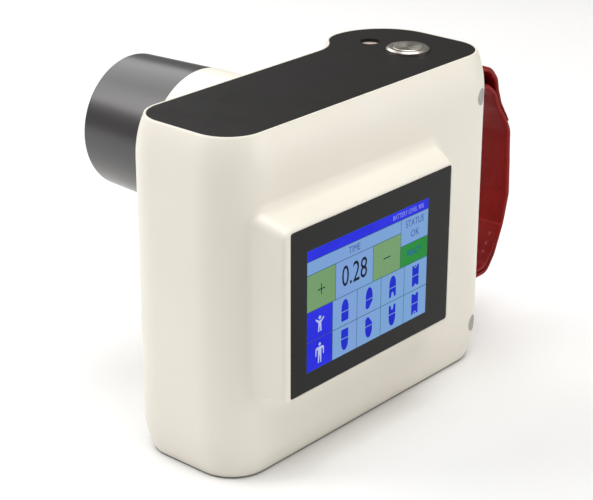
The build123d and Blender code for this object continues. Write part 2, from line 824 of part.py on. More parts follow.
with BuildPart() as exposure_cap:
    with BuildSketch(spin_plane(button_x, button_y)):
        with BuildLine():
            dish = ThreePointArc(
                (0, head_top - 0.25), (3.0, head_top - 0.18), (5.6, head_top + 0.1)
            )
            Polyline(
                dish @ 1,
                (button_cap_r - 0.3, head_top + 0.1),
                (button_cap_r, head_top - 0.2),
                (button_cap_r, cap_bottom),
                (2.0, cap_bottom),
                (2.0, barrel_end + 3.0),
                (0, barrel_end + 3.0),
                (0, head_top - 0.25),
            )
        make_face()
    revolve(axis=button_axis)
save(exposure_cap.part, "exposure_cap")

with BuildPart() as exposure_spring:
    spring_turns = 4
    spring_wire = 0.45
    spring_low = shelf_z + spring_wire + 0.05
    spring_height = cap_bottom - shelf_z - 2 * spring_wire - 0.2
    with BuildLine() as coil:
        Helix(
            spring_height / spring_turns, spring_height, 4.6, center=(button_x, button_y, spring_low)
        )
    with BuildSketch(Plane(coil.line @ 0, z_dir=coil.line % 0)):
        Circle(spring_wire)
    sweep(path=coil.line, is_frenet=True)
save(exposure_spring.part, "exposure_spring")

with BuildPart() as exposure_nut:
    with BuildSketch(Plane((button_x, button_y, panel_under - 2.6))):
        RegularPolygon(11, 6)
        Circle(barrel_r + 0.1, mode=Mode.SUBTRACT)
    extrude(amount=2.5)
save(exposure_nut.part, "exposure_nut")

with BuildPart() as exposure_switch:
    with Locations((button_x, button_y, barrel_end - 0.05)):
        Cylinder(barrel_r, 6, align=DOWNWARD)
        Cylinder(3.0, 1.2, align=UPWARD)
    for x in (-3, 3):
        with Locations((button_x + x, button_y, barrel_end - 6)):
            Box(1.0, 3, 5, align=DOWNWARD)
save(exposure_switch.part, "exposure_switch")

# ------------------------------------------------------------ power button
power_top = body_height - power_depth
flange_top = panel_under - 0.05
flange_low = panel_under - 1.2
cup_floor = 138.0
power_axis = Axis((power_x, power_y, 0), (0, 0, 1))

with BuildPart() as power_cap:
    with BuildSketch(spin_plane(power_x, power_y)):
        with BuildLine():
            Polyline(
                (0, power_top),
                (power_hole_r - running_gap - 0.3, power_top),
                (power_hole_r - running_gap, power_top - 0.3),
                (power_hole_r - running_gap, flange_top),
                (power_flange_r, flange_top),
                (power_flange_r, flange_low),
                (1.5, flange_low),
                (1.5, cup_floor + 1.6),
                (0, cup_floor + 1.6),
                close=True,
            )
        make_face()
    revolve(axis=power_axis)
save(power_cap.part, "power_cap")

with BuildPart() as power_switch:
    with BuildSketch(spin_plane(power_x, power_y)):
        with BuildLine():
            Polyline(
                (0, cup_floor - 2),
                (7.6, cup_floor - 2),
                (7.6, panel_under - 0.02),
                (power_flange_r + running_gap, panel_under - 0.02),
                (power_flange_r + running_gap, cup_floor),
                (0, cup_floor),
                close=True,
            )
        make_face()
    revolve(axis=power_axis)
save(power_switch.part, "power_switch")

with BuildPart() as power_spring:
    power_spring_height = flange_low - cup_floor - 2 * 0.35 - 0.2
    with BuildLine() as power_coil:
        Helix(
            power_spring_height / spring_turns,
            power_spring_height,
            3.6,
            center=(power_x, power_y, cup_floor + 0.4),
        )
    with BuildSketch(Plane(power_coil.line @ 0, z_dir=power_coil.line % 0)):
        Circle(0.35)
    sweep(path=power_coil.line, is_frenet=True)
save(power_spring.part, "power_spring")

# ------------------------------------------------------------ housing screws and plugs
with BuildPart() as housing_screws:
    for z in glass_screw_z:
        with Locations(facing(glass_screw_x, pocket_y + glass_head_depth, z, -1)):
            Cylinder(screw_head_r, head_height, align=UPWARD)
            Cylinder(screw_r, join_y + 10 - pocket_y - glass_head_depth, align=DOWNWARD)
    for z in plug_z:
        with Locations(facing(plug_x, rear_y + plug_head_depth, z, -1)):
            Cylinder(screw_head_r, head_height, align=UPWARD)
            Cylinder(screw_r, plug_join_y + 9 - rear_y - plug_head_depth, align=DOWNWARD)
save(housing_screws.part, "housing_screws")

with BuildPart() as screw_plugs:
    for z in plug_z:
        with Locations(facing(plug_x, rear_y + plug_length, z, -1)):
            Cylinder(plug_r, plug_length, align=UPWARD)
    plug_keep = slab(wall_margin + 0.05, 10, 140)
    add(plug_keep, mode=Mode.INTERSECT)
save(screw_plugs.part, "screw_plugs")

# ------------------------------------------------------------ hand strap
with BuildPart() as strap_pins:
    for z in pin_z:
        with Locations(facing(pin_x, pocket_mid_y, z, 1)):
            Cylinder(pin_r, pocket_width + 2.4)
save(strap_pins.part, "strap_pins")

# The strap's centre line in side view (x, z): from the sewn upper end, round the upper
# pin, down the outside of the hand, round the lower pin to the sewn lower end.
loop_x = pin_x - loop_r
strap_points = (
    (118.7, 103.0),
    (116.9, 105.7),
    (111.9, 113.3),
    (109.2, 120.4),
    (108.7, 126.6),
    (103.4, 132.1),
    (96.0, 134.4),
    (90.0, upper_pin_z + loop_r),
    (loop_x, upper_pin_z + loop_r),
    (loop_x, upper_pin_z - loop_r),
    (90.0, upper_pin_z - loop_r),
    (100.5, 124.6),
    (106.6, 119.8),
    (109.6, 111.9),
    (114.6, 104.2),
    (119.2, 97.2),
    (121.4, 80.0),
    (121.5, 66.0),
    (117.4, 51.5),
    (111.9, 37.4),
    (106.4, 30.15),
    (95.0, 30.15),
    (90.0, lower_pin_z - loop_r),
    (loop_x, lower_pin_z - loop_r),
    (loop_x, lower_pin_z + loop_r),
    (90.0, lower_pin_z + loop_r),
    (95.0, 32.85),
    (104.6, 32.85),
    (109.4, 38.9),
    (114.4, 51.4),
)
loop_corners = (8, 9, 23, 24)
tight_corners = (1, 20, 21, 22, 25, 26, 27)
strap_radii = [
    loop_r - 0.02 if i in loop_corners else 2.5 if i in tight_corners else 6.0
    for i in range(1, len(strap_points) - 1)
]
with BuildPart() as hand_strap:
    with BuildSketch(Plane.XZ.offset(-strap_near_y)):
        with BuildLine() as strap_line:
            FilletPolyline(*strap_points, radius=strap_radii)
        trace(line_width=strap_thickness)
    extrude(amount=-strap_width)
save(hand_strap.part, "hand_strap")
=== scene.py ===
import json
import math
import bmesh
import bpy
from mathutils import Matrix, Vector


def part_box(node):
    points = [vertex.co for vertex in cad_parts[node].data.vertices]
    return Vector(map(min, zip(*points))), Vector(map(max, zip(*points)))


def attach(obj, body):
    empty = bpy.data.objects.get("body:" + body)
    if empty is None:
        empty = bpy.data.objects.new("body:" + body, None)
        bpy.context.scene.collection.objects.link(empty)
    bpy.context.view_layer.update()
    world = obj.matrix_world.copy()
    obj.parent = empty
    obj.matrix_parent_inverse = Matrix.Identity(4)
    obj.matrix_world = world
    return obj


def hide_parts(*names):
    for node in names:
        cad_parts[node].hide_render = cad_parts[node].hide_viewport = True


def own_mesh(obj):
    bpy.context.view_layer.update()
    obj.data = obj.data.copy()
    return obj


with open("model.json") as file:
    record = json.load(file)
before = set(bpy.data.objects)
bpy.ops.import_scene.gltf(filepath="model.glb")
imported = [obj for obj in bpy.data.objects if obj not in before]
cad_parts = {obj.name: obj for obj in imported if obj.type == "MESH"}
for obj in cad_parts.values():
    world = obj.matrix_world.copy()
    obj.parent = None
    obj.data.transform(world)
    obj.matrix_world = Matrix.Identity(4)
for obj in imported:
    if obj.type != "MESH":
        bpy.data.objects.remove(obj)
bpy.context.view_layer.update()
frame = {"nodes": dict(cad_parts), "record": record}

# Looks of a handheld dental x-ray unit: finishes for every CAD node, the sewn hand strap, the two button
# springs and the lit screen page.
# Lengths are in metres. +Y is the way the beam leaves, the screen faces -Y and the strap is on the +X end.

MM = 0.001
PIXEL = 0.245 * MM
PAGE_GLOW = 0.92
slots = {part["node"]: part["material_slot"] for part in frame["record"]["subparts"]}


# ---------------------------------------------------------------- node graphs
def tone(red, green, blue):
    """A colour given as it looks on a display, 0 to 255, as the linear colour that a socket takes."""
    linear = []
    for value in (red, green, blue):
        part = value / 255
        linear.append(part / 12.92 if part <= 0.04045 else ((part + 0.055) / 1.055) ** 2.4)
    return (*linear, 1.0)


class Graph:
    """One new material and its node tree, with short calls for the nodes that the finishes share."""

    def __init__(self, name, **fixed):
        self.material = bpy.data.materials.new(name)
        self.material.use_nodes = True
        self.nodes = self.material.node_tree.nodes
        self.links = self.material.node_tree.links
        self.shader = self.nodes["Principled BSDF"]
        self.place = self.nodes.new("ShaderNodeTexCoord").outputs["Object"]
        for key, value in fixed.items():
            self.shader.inputs[key.replace("_", " ")].default_value = value

    def feed(self, socket, value):
        """Join a socket to a node's output, or set it to a plain value."""
        if isinstance(value, bpy.types.NodeSocket):
            self.links.new(value, socket)
        else:
            socket.default_value = value

    def stretched(self, x, y, z):
        """The surface point with each axis scaled, for a pattern that is drawn out one way."""
        node = self.nodes.new("ShaderNodeMapping")
        self.feed(node.inputs["Vector"], self.place)
        node.inputs["Scale"].default_value = (x, y, z)
        return node.outputs["Vector"]

    def upright(self):
        """The surface point turned so that a flat pattern lies in the X and Z plane."""
        node = self.nodes.new("ShaderNodeMapping")
        self.feed(node.inputs["Vector"], self.place)
        node.inputs["Rotation"].default_value = (math.radians(90), 0, 0)
        return node.outputs["Vector"]

    def noise(self, scale, detail=3.0, place=None):
        """Soft noise from 0 to 1, with scale features per metre."""
        node = self.nodes.new("ShaderNodeTexNoise")
        self.feed(node.inputs["Vector"], place or self.place)
        node.inputs["Scale"].default_value = scale
        node.inputs["Detail"].default_value = detail
        return node.outputs["Fac"]

    def cells(self, scale, feature="F1"):
        """Distances in a pattern of cells, with scale cells per metre."""
        node = self.nodes.new("ShaderNodeTexVoronoi")
        node.feature = feature
        self.feed(node.inputs["Vector"], self.place)
        node.inputs["Scale"].default_value = scale
        return node.outputs["Distance"]

    def rings(self, scale, centre):
        """Fine turned grooves round the Z axis through centre, with scale rings per metre."""
        moved = self.nodes.new("ShaderNodeMapping")
        moved.inputs["Location"].default_value = (-centre[0], -centre[1], 0)
        self.feed(moved.inputs["Vector"], self.place)
        node = self.nodes.new("ShaderNodeTexWave")
        node.wave_type = "RINGS"
        node.rings_direction = "Z"
        self.feed(node.inputs["Vector"], moved.outputs["Vector"])
        node.inputs["Scale"].default_value = scale / 3
        node.inputs["Distortion"].default_value = 1.2
        node.inputs["Detail Scale"].default_value = 2.0
        return node.outputs["Fac"]

    def spread(self, value, low, high, start=0.3, end=0.7):
        """Map start to low and end to high, held at both ends."""
        node = self.nodes.new("ShaderNodeMapRange")
        self.feed(node.inputs["Value"], value)
        node.inputs["From Min"].default_value = start
        node.inputs["From Max"].default_value = end
        node.inputs["To Min"].default_value = low
        node.inputs["To Max"].default_value = high
        return node.outputs["Result"]

    def product(self, first, second):
        """The two values multiplied."""
        node = self.nodes.new("ShaderNodeMath")
        node.operation = "MULTIPLY"
        self.feed(node.inputs[0], first)
        self.feed(node.inputs[1], second)
        return node.outputs["Value"]

    def blend(self, factor, first, second):
        """The first colour where factor is 0, the second where it is 1."""
        node = self.nodes.new("ShaderNodeMix")
        node.data_type = "RGBA"
        self.feed(node.inputs["Factor"], factor)
        self.feed(node.inputs[6], first)
        self.feed(node.inputs[7], second)
        return node.outputs[2]

    def mottled(self, pattern, first, second):
        """A patchy mix of two colours, led by a noise pattern."""
        return self.blend(self.spread(pattern, 0.0, 1.0), first, second)

    def rounded(self, radius):
        """A normal that turns softly over edges, as over a fillet of this radius."""
        node = self.nodes.new("ShaderNodeBevel")
        node.samples = 6
        node.inputs["Radius"].default_value = radius
        return node.outputs["Normal"]

    def edges(self, radius):
        """1 along edges and 0 on flat faces: for wear, paler cone edges, and the strap's partly painted edge
        highlight.
        """
        facing = self.nodes.new("ShaderNodeVectorMath")
        facing.operation = "DOT_PRODUCT"
        self.feed(facing.inputs[0], self.rounded(radius))
        self.feed(facing.inputs[1], self.nodes.new("ShaderNodeNewGeometry").outputs["Normal"])
        return self.spread(facing.outputs["Value"], 1.0, 0.0, 0.75, 0.99)

    def bump(self, height, depth, under=None):
        """Relief of the given depth, laid over another normal if there is one."""
        node = self.nodes.new("ShaderNodeBump")
        node.inputs["Strength"].default_value = 1.0
        node.inputs["Distance"].default_value = depth
        self.feed(node.inputs["Height"], height)
        if under:
            self.feed(node.inputs["Normal"], under)
        return node.outputs["Normal"]

    def done(self, colour, roughness, normal=None):
        """Give the shader its colour, roughness and relief, and return the material."""
        self.feed(self.shader.inputs["Base Color"], colour)
        self.feed(self.shader.inputs["Roughness"], roughness)
        if normal:
            self.feed(self.shader.inputs["Normal"], normal)
        return self.material


# ---------------------------------------------------------------- finishes
def moulded(name, colour, shaded, roughness, grain, depth, wear=None, soft=None, **fixed):
    """Moulded plastic: slight drift of colour, a fine spark-eroded grain, and worn or softened edges."""
    graph = Graph(name, **fixed)
    paint = graph.mottled(graph.noise(14.0, 2.0), colour, shaded)
    fine = graph.noise(grain, 2.0)
    gloss = graph.spread(graph.noise(60.0, 4.0), roughness - 0.05, roughness + 0.06)
    if wear:
        pale_edges = graph.product(graph.edges(0.5 * MM), graph.spread(graph.noise(220.0, 3.0), 0.0, 0.6))
        paint = graph.blend(pale_edges, paint, wear)
    base_normal = graph.rounded(soft) if soft else None
    return graph.done(paint, gloss, graph.bump(fine, depth, base_normal))


def drawn_tube_plastic():
    """The beam cone: satin grey, with long shallow ripples, a fine grain and paler edges."""
    graph = Graph("cone_grey", Specular_IOR_Level=0.45, Coat_Weight=0.5, Coat_Roughness=0.25)
    ripples = graph.noise(55.0, 3.0, graph.stretched(1.0, 0.18, 1.0))
    fine = graph.noise(2400.0, 2.0)
    paint = graph.mottled(ripples, tone(44, 42, 44), tone(49, 46, 48))
    # Every edge is made paler by one even share, with no patches.
    pale_edges = graph.product(graph.edges(0.6 * MM), 0.35)
    paint = graph.blend(pale_edges, paint, tone(120, 116, 117))
    gloss = graph.spread(ripples, 0.33, 0.4)
    relief = graph.bump(fine, 0.02 * MM, graph.bump(ripples, 0.12 * MM))
    return graph.done(paint, gloss, relief)


def cover_glass():
    """Black-backed glass, with specks of dust and faint finger smears that only its gloss shows."""
    graph = Graph("cover_glass", IOR=1.5, Specular_IOR_Level=0.18)
    smear = graph.noise(38.0, 5.0, graph.stretched(1.0, 1.0, 0.45))
    dust = graph.spread(graph.cells(900.0), 0.03, 0.0, 0.02, 0.09)
    paint = graph.blend(dust, tone(18, 17, 17), tone(90, 88, 86))
    return graph.done(paint, graph.spread(smear, 0.07, 0.2), graph.bump(smear, 0.004 * MM))


def spun_steel(name, colour, shaded, centre, roughness, anisotropy):
    """Stainless face turned about its own axis: fine rings, and a highlight that fans out from the middle."""
    graph = Graph(name, Metallic=1.0, Anisotropic=anisotropy)
    tangent = graph.nodes.new("ShaderNodeTangent")
    tangent.direction_type = "RADIAL"
    tangent.axis = "Z"
    graph.feed(graph.shader.inputs["Tangent"], tangent.outputs["Tangent"])
    rings = graph.rings(2600.0, centre)
    soil = graph.noise(260.0, 4.0)
    paint = graph.mottled(soil, colour, shaded)
    gloss = graph.spread(rings, roughness - 0.04, roughness + 0.05)
    return graph.done(paint, gloss, graph.bump(rings, 0.006 * MM))


def metal(name, colour, shaded, roughness, scratch, depth, drawn=(1.0, 1.0, 1.0)):
    """Bare metal with tool marks drawn out along one axis and tarnish in patches."""
    graph = Graph(name, Metallic=1.0)
    marks = graph.noise(scratch, 4.0, graph.stretched(*drawn))
    paint = graph.mottled(graph.noise(110.0, 3.0), colour, shaded)
    gloss = graph.spread(marks, roughness - 0.06, roughness + 0.1)
    return graph.done(paint, gloss, graph.bump(marks, depth))


def circuit_board(name, mask, track, edge):
    """Solder mask over tracks that run both ways, with the weave of the laminate under it."""
    graph = Graph(name, Coat_Weight=0.4, Coat_Roughness=0.15)
    tracks = graph.nodes.new("ShaderNodeTexBrick")
    tracks.inputs["Scale"].default_value = 160.0
    tracks.inputs["Mortar Size"].default_value = 0.03
    graph.feed(tracks.inputs["Vector"], graph.upright())
    weave = graph.noise(1800.0, 2.0)
    paint = graph.blend(tracks.outputs["Fac"], mask, track)
    paint = graph.blend(graph.spread(weave, 0.0, 0.3), paint, edge)
    relief = graph.bump(tracks.outputs["Fac"], 0.03 * MM, graph.bump(weave, 0.01 * MM))
    return graph.done(paint, graph.spread(weave, 0.32, 0.45), relief)


def envelope_glass():
    """The x-ray tube's clear glass, with faint drawn streaks."""
    graph = Graph("envelope_glass", IOR=1.47, Transmission_Weight=1.0)
    streaks = graph.noise(260.0, 3.0, graph.stretched(0.2, 1.0, 1.0))
    paint = graph.mottled(streaks, tone(244, 250, 248), tone(226, 238, 234))
    return graph.done(paint, graph.spread(streaks, 0.02, 0.08), graph.bump(streaks, 0.02 * MM))


def grained_leather():
    """Red coated leather: pebbled grain, creases across the strap, and brighter edges that are partly edge
    paint and partly a painted highlight.
    """
    graph = Graph("red_leather", Specular_IOR_Level=0.22)
    pebbles = graph.cells(1100.0, "SMOOTH_F1")
    creases = graph.noise(150.0, 4.0, graph.stretched(1.0, 0.5, 1.6))
    patches = graph.noise(45.0, 3.0, graph.stretched(1.0, 2.2, 0.5))
    paint = graph.mottled(patches, tone(138, 12, 9), tone(118, 7, 5))
    paint = graph.blend(graph.spread(pebbles, 0.35, 0.0, 0.1, 0.5), paint, tone(92, 4, 5))
    # The strap's edges are brighter partly for their edge paint and partly as a painted highlight.
    edge_paint_and_highlight = graph.product(graph.edges(1.2 * MM), 0.45)
    paint = graph.blend(edge_paint_and_highlight, paint, tone(190, 30, 30))
    relief = graph.bump(pebbles, 0.07 * MM, graph.bump(creases, 0.16 * MM))
    return graph.done(paint, graph.spread(creases, 0.42, 0.58), relief)


def sewing_thread():
    """Bonded red thread: two plies twisted together."""
    graph = Graph("red_thread", Sheen_Weight=0.3)
    plies = graph.nodes.new("ShaderNodeTexWave")
    plies.inputs["Scale"].default_value = 900.0
    plies.inputs["Distortion"].default_value = 3.0
    graph.feed(plies.inputs["Vector"], graph.stretched(1.0, 1.0, 1.6))
    twist = plies.outputs["Fac"]
    paint = graph.blend(twist, tone(180, 62, 60), tone(132, 30, 30))
    return graph.done(paint, graph.spread(twist, 0.5, 0.7), graph.bump(twist, 0.08 * MM))


def lit(name, colour, drift):
    """One colour of the lit page: dark when off, with fine pixel rows and slow drift in its own light."""
    graph = Graph(name, Specular_IOR_Level=0.05, Emission_Strength=PAGE_GLOW)
    pixels = graph.nodes.new("ShaderNodeTexBrick")
    pixels.offset = 0.0
    pixels.inputs["Scale"].default_value = 1.0
    pixels.inputs["Mortar Size"].default_value = PIXEL / 10
    pixels.inputs["Mortar Smooth"].default_value = 0.0
    pixels.inputs["Brick Width"].default_value = PIXEL
    pixels.inputs["Row Height"].default_value = PIXEL
    graph.feed(pixels.inputs["Vector"], graph.upright())
    light = graph.mottled(graph.noise(42.0, 2.0), colour, drift)
    light = graph.blend(graph.product(pixels.outputs["Fac"], 0.15), light, tone(20, 22, 40))
    graph.feed(graph.shader.inputs["Emission Color"], light)
    off = graph.blend(pixels.outputs["Fac"], tone(8, 8, 10), tone(3, 3, 5))
    return graph.done(off, graph.spread(graph.noise(300.0, 3.0), 0.25, 0.35))


button_centre = (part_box("exposure_cap")[0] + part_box("exposure_cap")[1]) / 2

finishes = {
    "housing": moulded("warm_white", tone(233, 229, 218), tone(229, 224, 212), 0.4, 1500.0, 0.012 * MM,
                       soft=1.2 * MM, Coat_Weight=0.15, Coat_Roughness=0.3),
    "dark_panel": moulded("charcoal_panel", tone(30, 28, 28), tone(28, 27, 26), 0.5, 2200.0, 0.015 * MM,
                          wear=tone(74, 71, 70), Specular_IOR_Level=0.14),
    # The base cover's mid grey is painted shade, standing in for the thin shadow line along the bottom edge.
    "base_plastic": moulded("base_grey_painted_shade", tone(128, 125, 118), tone(120, 117, 110), 0.55, 1200.0, 0.03 * MM,
                            wear=tone(160, 157, 150)),
    "cone_plastic": drawn_tube_plastic(),
    "lead": metal("lead_sheet", tone(112, 114, 118), tone(92, 94, 98), 0.5, 90.0, 0.06 * MM),
    "aluminium": metal("milled_aluminium", tone(216, 217, 219), tone(198, 199, 202), 0.3, 700.0, 0.012 * MM,
                       (0.1, 1.0, 1.0)),
    "screen_glass": cover_glass(),
    "display": moulded("panel_frame", tone(74, 76, 80), tone(64, 66, 70), 0.4, 1500.0, 0.01 * MM),
    "circuit_board": circuit_board("green_board", tone(16, 88, 46), tone(30, 112, 62), tone(12, 66, 36)),
    "black_parts": moulded("black_moulding", tone(34, 34, 35), tone(26, 26, 27), 0.45, 1600.0, 0.02 * MM,
                           wear=tone(90, 90, 90)),
    "hv_board": circuit_board("resin_board", tone(150, 104, 48), tone(176, 128, 66), tone(120, 80, 36)),
    "brass": metal("turned_brass", tone(200, 162, 92), tone(176, 138, 74), 0.28, 900.0, 0.01 * MM,
                   (1.0, 1.0, 0.1)),
    "screw_steel": metal("zinc_plate", tone(190, 190, 188), tone(164, 164, 160), 0.3, 500.0, 0.01 * MM),
    "spring_steel": metal("spring_wire", tone(150, 150, 154), tone(126, 126, 130), 0.34, 800.0, 0.01 * MM),
    "grey_rubber": moulded("grey_plug", tone(166, 165, 161), tone(158, 156, 152), 0.6, 1300.0, 0.03 * MM,
                           wear=tone(190, 188, 184)),
    "tube_glass": envelope_glass(),
    "copper": metal("bare_copper", tone(200, 122, 84), tone(168, 92, 62), 0.33, 600.0, 0.01 * MM,
                    (0.1, 1.0, 1.0)),
    "nickel": metal("satin_nickel", tone(178, 172, 162), tone(158, 152, 142), 0.35, 600.0, 0.01 * MM),
    "ferrite": moulded("sintered_ferrite", tone(58, 58, 62), tone(46, 46, 50), 0.6, 900.0, 0.06 * MM,
                       wear=tone(110, 110, 112)),
    "tray_plastic": moulded("tray_black", tone(40, 40, 42), tone(32, 32, 34), 0.5, 1400.0, 0.02 * MM,
                            wear=tone(86, 86, 88)),
    "cell_wrap": moulded("shrink_wrap", tone(34, 84, 150), tone(28, 72, 134), 0.28, 300.0, 0.04 * MM,
                         wear=tone(120, 150, 190)),
    "strap": grained_leather(),
}
steel_faces = {
    "exposure_cap": spun_steel("spun_cap", tone(206, 200, 192), tone(192, 185, 177), button_centre,
                               0.3, 0.75),
    "exposure_bezel": spun_steel("spun_bezel", tone(206, 200, 192), tone(194, 187, 178), button_centre,
                                 0.26, 0.6),
    "power_cap": metal("blasted_power_cap", tone(236, 220, 212), tone(222, 204, 196), 0.55, 900.0,
                       0.01 * MM),
}


def finish_cad_nodes():
    """Give every CAD node the finish of its slot, in place of the plain one that it was packed with."""
    for name, node in frame["nodes"].items():
        finish = steel_faces.get(name) or finishes[slots[name]]
        for holder in node.material_slots:
            holder.material = finish


# ---------------------------------------------------------------- mesh making
def new_piece(name, mesh, body, materials, smooth=True):
    """Put a finished bmesh in the scene as one piece that rides on a body."""
    data = bpy.data.meshes.new(name)
    bmesh.ops.recalc_face_normals(mesh, faces=mesh.faces)
    mesh.to_mesh(data)
    mesh.free()
    for polygon in data.polygons:
        polygon.use_smooth = smooth
    for material in materials:
        data.materials.append(material)
    piece = bpy.data.objects.new(name, data)
    bpy.context.scene.collection.objects.link(piece)
    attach(piece, body)
    return piece


def bridge(mesh, first, second):
    """Join two closed rings of vertices with a band of faces."""
    count = len(first)
    for index in range(count):
        after = (index + 1) % count
        mesh.faces.new((first[index], first[after], second[after], second[index]))


def loft(mesh, sections):
    """Skin a run of closed sections, each a list of points, and close both ends."""
    rings = [[mesh.verts.new(point) for point in section] for section in sections]
    for first, second in zip(rings, rings[1:]):
        bridge(mesh, first, second)
    mesh.faces.new(rings[0])
    mesh.faces.new(list(reversed(rings[-1])))


# ---------------------------------------------------------------- button springs
SPRING_TURNS = 4
SPRING_PARTS = 28
WIRE_SIDES = 10


def make_spring(name, node, wire):
    """A coil of round wire under a button, the size of its CAD node."""
    low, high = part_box(node)
    foot = Vector(((low.x + high.x) / 2, (low.y + high.y) / 2, low.z))
    coil = (high.x - low.x) / 2 - wire
    rise = high.z - low.z - 2 * wire
    upward = Vector((0, 0, 1))
    last = SPRING_TURNS * SPRING_PARTS
    around = [math.tau * side / WIRE_SIDES for side in range(WIRE_SIDES)]
    mesh = bmesh.new()
    sections = []
    for part in range(last + 1):
        angle = math.tau * part / SPRING_PARTS
        spoke = Vector((math.cos(angle), math.sin(angle), 0))
        middle = foot + spoke * coil + upward * (wire + rise * part / last)
        sections.append([middle + (spoke * math.cos(turn) + upward * math.sin(turn)) * wire for turn in around])
    loft(mesh, sections)
    slot = slots[node]
    piece = new_piece(name, mesh, "root", [finishes[slot]])
    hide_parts(node)
    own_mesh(piece)


# ---------------------------------------------------------------- hand strap
# The strap's centre line in X and Z, in millimetres, from the sewn tab at the top, round the upper pin,
# down the hand side, round the lower pin and up to its sewn end, with the radius of each corner.
STRAP_ROUTE = (
    (119.7, 103.8, 0), (118.0, 106.7, 6), (112.1, 113.8, 8), (109.3, 120.0, 8), (107.9, 126.0, 7),
    (102.8, 131.6, 9), (96.0, 134.0, 6), (90.0, 133.25, 6), (80.15, 133.25, 4.33), (80.15, 124.55, 4.33),
    (90.0, 124.55, 6), (100.5, 124.6, 6), (106.6, 119.8, 8), (110.0, 112.1, 8), (115.9, 105.0, 8),
    (120.3, 97.9, 10), (121.4, 82.0, 10), (121.5, 66.0, 10), (117.4, 51.5, 10), (111.9, 37.4, 6),
    (106.4, 30.15, 6), (95.0, 30.15, 6), (90.0, 27.05, 6), (80.15, 27.05, 4.33), (80.15, 35.75, 4.33),
    (90.0, 35.75, 2.5), (95.0, 32.85, 2.5), (104.6, 32.85, 6), (109.4, 38.9, 6), (115.0, 52.4, 0),
)
STRAP_STEP = 1.3 * MM
strap_low, strap_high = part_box("hand_strap")
STRAP_MIDDLE_Y = (strap_low.y + strap_high.y) / 2
STRAP_HALF_WIDTH = (strap_high.y - strap_low.y) / 2 - 0.3 * MM
STRAP_HALF_THICKNESS = 1.25 * MM
SKIVED_LENGTH = 18.0 * MM
SKIVED_SHARE = 0.15
PADDED_SHARE = 1.35
# Heights in millimetres between which the padding grows and fades again, and how far out the padded side lies.
PAD_START = (50, 62)
PAD_END = (104, 92)
HAND_SIDE_X = 112 * MM
ROLLED_EDGE = 0.95 * MM
SWAY = 0.25 * MM
SWAY_RUN = 9 * MM
# Heights in millimetres of the stitches in the upper tab and in the lower lap.
TAB_ROWS = (108, 119)
LAP_ROWS = (34, 50)
LAP_START_X = 104 * MM
STITCH_PITCH = 3.9 * MM
STITCH_LENGTH = 2.7 * MM
STITCH_RADIUS = 0.42 * MM
STITCH_INSET = 4.0 * MM


def rounded_line(route, step):
    """Points along a route whose corners are arcs, evenly enough spaced for a smooth ribbon."""
    corners = [Vector((x, z)) * MM for x, z, _ in route]
    line = [corners[0]]
    for index in range(1, len(route) - 1):
        before, corner, after = corners[index - 1:index + 2]
        back = (before - corner).normalized()
        ahead = (after - corner).normalized()
        half = back.angle(ahead) / 2
        reach = route[index][2] * MM / math.tan(half)
        reach = min(reach, 0.49 * (before - corner).length, 0.49 * (after - corner).length)
        radius = reach * math.tan(half)
        centre = corner + (back + ahead).normalized() * (radius / math.sin(half))
        first = corner + back * reach
        last = corner + ahead * reach
        turn = math.pi - 2 * half
        side = 1 if back.cross(ahead) < 0 else -1
        run = (first - line[-1]).length
        for part in range(1, int(run / step) + 1):
            line.append(line[-1].lerp(first, 1 / (int(run / step) + 2 - part)))
        parts = max(2, math.ceil(turn / math.radians(9)))
        for part in range(parts + 1):
            spin = Matrix.Rotation(side * turn * part / parts, 2)
            line.append(centre + spin @ (first - centre))
    start = line[-1]
    parts = math.ceil((corners[-1] - start).length / step)
    line += [start.lerp(corners[-1], part / parts) for part in range(1, parts + 1)]
    return line


def strap_frames(line):
    """For each point of the line: where it is, the way along, and the way out of the strap's face."""
    frames = []
    for index, point in enumerate(line):
        before = line[max(index - 1, 0)]
        after = line[min(index + 1, len(line) - 1)]
        along = (after - before).normalized()
        frames.append((point, along, Vector((-along.y, along.x))))
    return frames


def smooth_step(value, start, end):
    """0 at start and 1 at end, easing in and out."""
    share = min(max((value - start) / (end - start), 0.0), 1.0)
    return share * share * (3 - 2 * share)


def strap_thickness(point, walked, total):
    """Half the thickness, and the shift along out that keeps the face towards the next layer where it is.
    Both ends are skived thin, and the stretch behind the hand is padded."""
    full = STRAP_HALF_THICKNESS
    if walked < SKIVED_LENGTH:
        half = full * (SKIVED_SHARE + (1 - SKIVED_SHARE) * smooth_step(walked, 0, SKIVED_LENGTH))
        return half, full - half
    if total - walked < SKIVED_LENGTH:
        half = full * (SKIVED_SHARE + (1 - SKIVED_SHARE) * smooth_step(total - walked, 0, SKIVED_LENGTH))
        return half, half - full
    height = point.y / MM
    padding = smooth_step(height, *PAD_START) * smooth_step(height, *PAD_END) if point.x > HAND_SIDE_X else 0.0
    half = full * (1 + (PADDED_SHARE - 1) * padding)
    return half, full - half


def strap_section(point, out, sway, half, shift):
    """A ribbon's section: nearly flat faces, a little full in the middle, with rolled edges."""
    fullness = 0.1 * half
    around = []
    for side in (1, -1):
        for part in range(-6, 7):
            across = side * part / 6
            lift = side * (half - fullness * across * across)
            around.append((across * (STRAP_HALF_WIDTH - ROLLED_EDGE), lift))
        for part in range(1, 6):
            angle = math.pi / 2 - math.pi * part / 6
            y = side * (STRAP_HALF_WIDTH - ROLLED_EDGE + ROLLED_EDGE * math.cos(angle))
            around.append((y, side * (half - fullness) * math.sin(angle)))
    section = []
    for y, lift in around:
        away = out * (lift + shift)
        section.append(Vector((point.x + away.x, STRAP_MIDDLE_Y + y + sway, point.y + away.y)))
    return section


